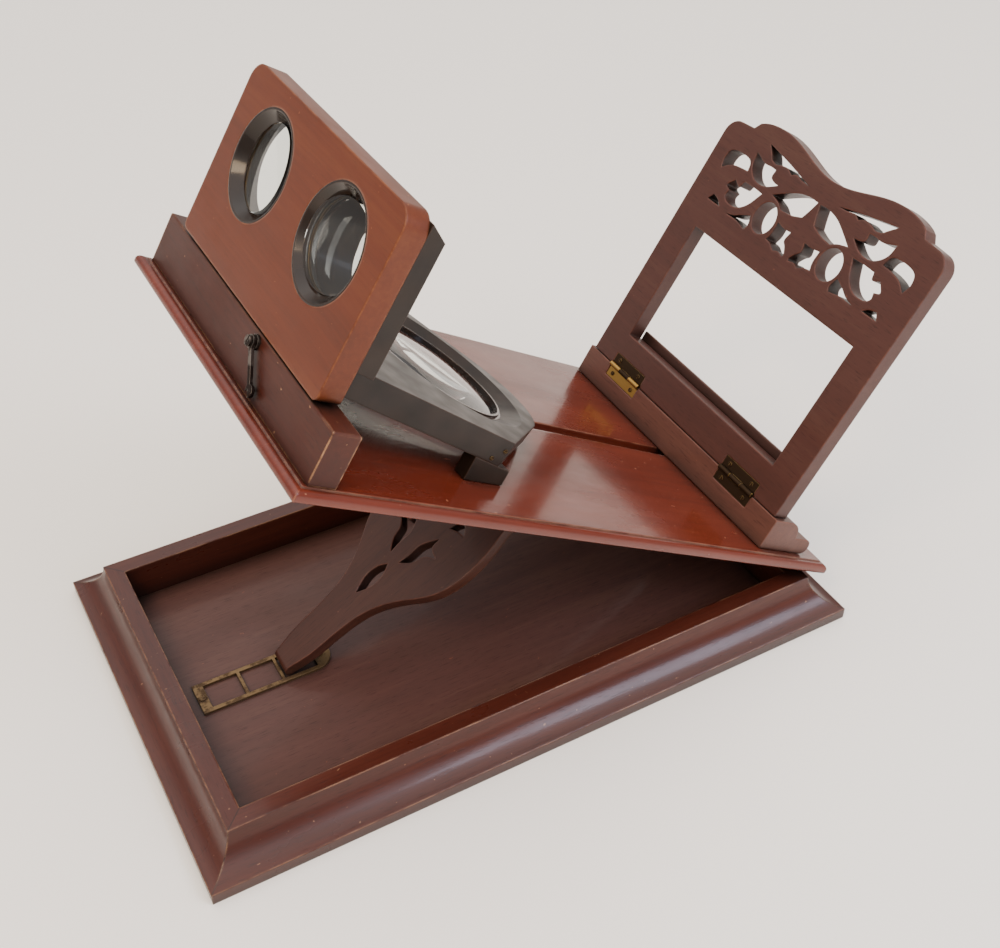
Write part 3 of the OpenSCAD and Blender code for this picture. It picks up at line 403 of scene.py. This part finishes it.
FINISHES = {
    base_finish: ["base_frame"],
    tray_finish: ["base_floor"],
    desk_finish: ["desk_board"],
    rail_finish: ["lens_rail"],
    board_finish: ["eyepiece_board"],
    stand_finish: ["picture_stand", "stand_batten", "card_lip"],
    carriage_finish: ["carriage", "carriage_tongue"],
    strut_finish: ["strut"],
    black_finish: ["backing_board", "lens_frame", "lens_feet"],
    ring_finish: ["eyepiece_cups", "large_lens_ring"],
    brass_finish: [
        "base_hinge_leaves", "desk_hinge_pins", "desk_hinge_leaves", "strut_brackets", "strut_pins",
        "strut_knuckles", "rail_hinge_leaves", "board_hinge_leaves", "board_hinge_pins",
        "backing_hinge_leaves", "lens_frame_leaves", "lens_hinge_pins", "lens_rings", "clamp_plate",
        "clamp_screw", "stand_leaves", "stand_hinge_pins", "stand_screws", "carriage_screws",
        "lens_frame_screws"
    ],
    rubbed_finish: ["carriage_leaves"],
    plate_finish: ["ratchet_plate", "ratchet_screws"],
    steel_finish: ["hook", "hook_screw"],
    glass_finish: ["large_lens", "eyepiece_lenses"]
}
for finish, names in FINISHES.items():
    for name in names:
        mesh = nodes[name].data
        mesh.materials.clear()
        mesh.materials.append(finish)
        mesh.polygons.foreach_set("material_index", [0] * len(mesh.polygons))

# the faces of the desk that look away from its top are its underside
desk_mesh = nodes["desk_board"].data
desk_mesh.materials.append(under_finish)
desk_down = -(DESK.to_3x3() @ Vector((0, 0, 1)))
under = [int(face.normal.dot(desk_down) > 0.9) for face in desk_mesh.polygons]
desk_mesh.polygons.foreach_set("material_index", under)


def new_piece(name, form, material):
    """A piece of the scene, from a bmesh that it uses up."""
    mesh = bpy.data.meshes.new(name)
    form.to_mesh(mesh)
    form.free()
    mesh.materials.append(material)
    piece = bpy.data.objects.new(name, mesh)
    bpy.context.scene.collection.objects.link(piece)
    return piece


# Lenses, ground smooth, in the places of the turned blanks. Sizes are in mm: the rim's radius and thickness,
# and the rise and radius of the front and of the back, which may be flat. The eyepiece glasses have the rims
# of their blanks, but a flatter front that slopes across, so that they are thicker toward the board's middle
EYEPIECE_GLASS = {"rim": 22.6, "thick": 2.0, "front": (0.6, 21), "back": None}
EYEPIECE_SLOPE = 0.12
LARGE_GLASS = {"rim": 41.35, "thick": 2.6, "front": (4.6, 41.35), "back": (4.0, 39.6)}
# rings from the middle of a face to its edge, and corners in each
LENS_RINGS, LENS_CORNERS = 14, 96
# places of the lenses' backs on the axes of the board and of the lens frame, in metres
EYEPIECE_DEEP, EYEPIECE_ASIDE, EYEPIECE_UP = 0.008, 0.0385, 0.05265
LARGE_LENS_PLACE = (0.0925, 0, -0.008)


def dome(face, r):
    """How far a face stands over its edge, at a distance from its middle."""
    if not face:
        return 0.0
    height, reach = face
    ball = (reach * reach + height * height) / (2 * height)
    return math.sqrt(ball * ball - r * r) - (ball - height)


def lens_profile(rim, thick, front, back, slope):
    """Radius, height and slope of each ring of a lens, from the middle of its front to that of its back."""
    profile = []
    lift = abs(slope) * front[1]
    for i in range(LENS_RINGS + 1):
        r = front[1] * i / LENS_RINGS
        profile.append((r, thick + lift + dome(front, r), slope))
    profile.append((rim, thick, 0.0))
    profile.append((rim, thick / 2, 0.0))
    for i in range(LENS_RINGS, -1, -1):
        r = (back[1] if back else rim) * i / LENS_RINGS
        profile.append((r, -dome(back, r), 0.0))
    return profile


def ground_lens(name, places, size, body, node):
    """Glasses of one size in place of a node. Each has its axes, and the slope of its front across."""
    form = bmesh.new()
    for place, front_slope in places:
        loops = []
        for r, z, slope in lens_profile(slope=front_slope, **size):
            ring = []
            # the middle of a face is one point, with triangles round it
            for k in range(LENS_CORNERS if r else 1):
                x = r * math.cos(2 * math.pi * k / LENS_CORNERS)
                y = r * math.sin(2 * math.pi * k / LENS_CORNERS)
                ring.append(form.verts.new(place @ (Vector((x, y, z + slope * y)) * MM)))
            loops.append(ring)
        for low, high in zip(loops, loops[1:]):
            for k in range(LENS_CORNERS):
                n = k + 1
                ends = [low[k % len(low)], low[n % len(low)], high[n % len(high)], high[k % len(high)]]
                corners = list(dict.fromkeys(ends))
                if len(corners) > 2:
                    form.faces.new(corners)
    bmesh.ops.remove_doubles(form, verts=form.verts, dist=1e-6)
    bmesh.ops.recalc_face_normals(form, faces=form.faces)
    lens = new_piece(name, form, glass_finish)
    lens.data.polygons.foreach_set("use_smooth", [True] * len(lens.data.polygons))
    lens.data.set_sharp_from_angle(angle=math.radians(28))
    # clear glass hardly shades the desk, so light passes it
    lens.visible_shadow = False
    lens.visible_diffuse = False
    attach(lens, body)
    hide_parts(node)


toward_eyes = Matrix.Rotation(math.radians(-90), 4, "Y")
eyepieces = []
for side in (-1, 1):
    place = BOARD @ Matrix.Translation((EYEPIECE_DEEP, side * EYEPIECE_ASIDE, EYEPIECE_UP)) @ toward_eyes
    eyepieces.append((place, side * -EYEPIECE_SLOPE))
ground_lens("eyepiece_glasses", eyepieces, EYEPIECE_GLASS, "board", "eyepiece_lenses")
large_lens = LENS @ Matrix.Translation(LARGE_LENS_PLACE)
ground_lens("large_glass", [(large_lens, 0.0)], LARGE_GLASS, "lens", "large_lens")


# Floor, light and camera, in metres and degrees. The floor's reach is from its middle to its edges
FLOOR_REACH = 30
LIT_MIDDLE = Vector((0, 0, 0.1))
CAMERA_PLACE = (-0.2764, -0.4916, 0.57528)
CAMERA_TURN = {"azimuth": -29.3038, "elevation": 40.7575, "roll": 0.257}


def studio_floor():
    """Pale laminate, half dull, that runs to the horizon."""
    form = bmesh.new()
    bmesh.ops.create_grid(form, x_segments=1, y_segments=1, size=FLOOR_REACH)
    material, tree = new_material("pale_laminate")
    shader = add(tree, "ShaderNodeBsdfPrincipled", {"Base Color": linear("#F7F0E6"), "Roughness": 0.5})
    add(tree, "ShaderNodeOutputMaterial", {"Surface": shader.outputs[0]})
    floor = new_piece("floor", form, material)


def soft_box(name, place, size, watts, colour):
    """A square soft light, turned to the middle of the object."""
    light = bpy.data.lights.new(name, "AREA")
    light.shape = "SQUARE"
    light.size = size
    light.energy = watts
    light.color = linear(colour)[:3]
    lamp = bpy.data.objects.new(name, light)
    lamp.location = place
    lamp.rotation_euler = (LIT_MIDDLE - Vector(place)).to_track_quat("-Z", "Y").to_euler()
    bpy.context.scene.collection.objects.link(lamp)


def pale_room():
    """A bright ceiling over dimmer walls, so that upright polished faces keep their own colour."""
    world = bpy.data.worlds.new("room")
    world.use_nodes = True
    tree = world.node_tree
    tree.nodes.clear()
    way = add(tree, "ShaderNodeTexCoord").outputs["Generated"]
    up = add(tree, "ShaderNodeSeparateXYZ", {0: way}).outputs[2]
    strength = add(tree, "ShaderNodeMapRange", {
        "Value": up, "From Min": 0.3, "From Max": 0.9, "To Min": 0.75, "To Max": 3.0
    }, interpolation_type="SMOOTHSTEP").outputs[0]
    light = add(tree, "ShaderNodeBackground", {"Color": linear("#E9E5E2"), "Strength": strength})
    add(tree, "ShaderNodeOutputWorld", {"Surface": light.outputs[0]})
    bpy.context.scene.world = world


def photo_camera():
    """A camera with the photograph's place, turn and width of view."""
    azimuth, elevation, roll = (math.radians(angle) for angle in CAMERA_TURN.values())
    back = Vector((
        math.sin(azimuth) * math.cos(elevation), -math.cos(azimuth) * math.cos(elevation), math.sin(elevation)
    ))
    level = (-back).cross(Vector((0, 0, 1))).normalized()
    rise = level.cross(-back)
    right = math.cos(roll) * level + math.sin(roll) * rise
    up = math.cos(roll) * rise - math.sin(roll) * level
    data = bpy.data.cameras.new("camera")
    data.lens = 47.94
    data.sensor_width = 36
    data.clip_start = 0.01
    camera = bpy.data.objects.new("camera", data)
    turned = Matrix((right, up, back)).transposed().to_4x4()
    camera.matrix_world = Matrix.Translation(CAMERA_PLACE) @ turned
    bpy.context.scene.collection.objects.link(camera)
    bpy.context.scene.camera = camera


studio_floor()
soft_box("window", (0.75, -1.15, 1.15), size=0.8, watts=20, colour="#DDE6FF")
soft_box("lamp", (-1.0, -0.5, 1.5), size=0.5, watts=11, colour="#FFDDB4")
pale_room()
photo_camera()
